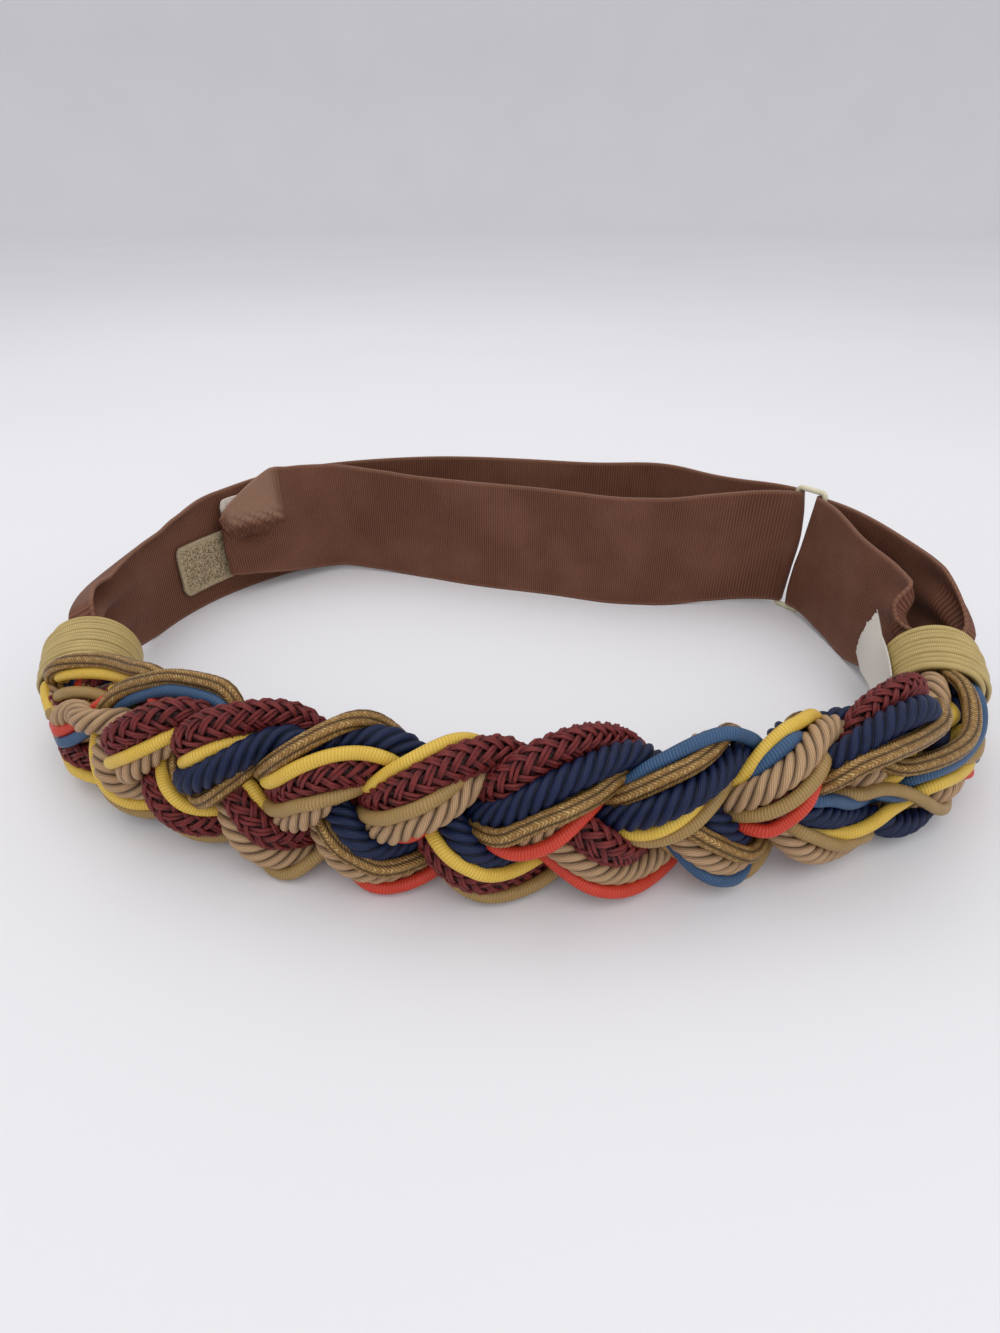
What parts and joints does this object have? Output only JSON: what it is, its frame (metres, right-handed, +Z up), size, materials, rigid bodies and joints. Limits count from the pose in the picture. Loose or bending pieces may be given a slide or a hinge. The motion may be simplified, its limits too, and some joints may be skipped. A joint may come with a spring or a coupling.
{
  "type": "braided belt",
  "caption": "Closed waist belt: a thick braid of mixed cords across the front, bound ends, and a grosgrain strap joined by a ring at the back.",
  "frame": {"origin": "on the surface that the belt stands on, under the middle of the closed loop", "axes": "+X to the wearer's side where the ring is, +Y from the braid to the strap's back, +Z up from the edge it stands on"},
  "size_m": [0.2872, 0.2108, 0.0499],
  "materials": {
    "cord_navy": "twisted rayon rope, soft sheen",
    "cord_gold": "braided metallic cord",
    "cord_burgundy": "openwork braid of glossy strands",
    "cord_beige": "twisted rayon rope, soft sheen",
    "cord_yellow": "satin cord",
    "cord_steel_blue": "satin cord",
    "cord_red": "satin cord",
    "cord_tan": "satin cord",
    "binding_cord": "satin cord wound tight",
    "grosgrain": "ribbed grosgrain, dull sheen",
    "ring": "glossy ivory coat",
    "loop_patch": "napped loop tape",
    "hook_patch": "hook tape",
    "label_tape": "plain woven tape, blank"
  },
  "bodies": {
    "root": {"braid_strand_blue": "cord_navy", "braid_strand_gold": "cord_gold", "braid_strand_red": "cord_burgundy", "binding_left": "binding_cord", "binding_right": "binding_cord", "strap_long": "grosgrain", "strap_short": "grosgrain", "ring": "ring", "loop_patch_side": "loop_patch", "loop_patch_back": "loop_patch", "hook_patch": "hook_patch", "label": "label_tape"}
  },
  "joints": []
}
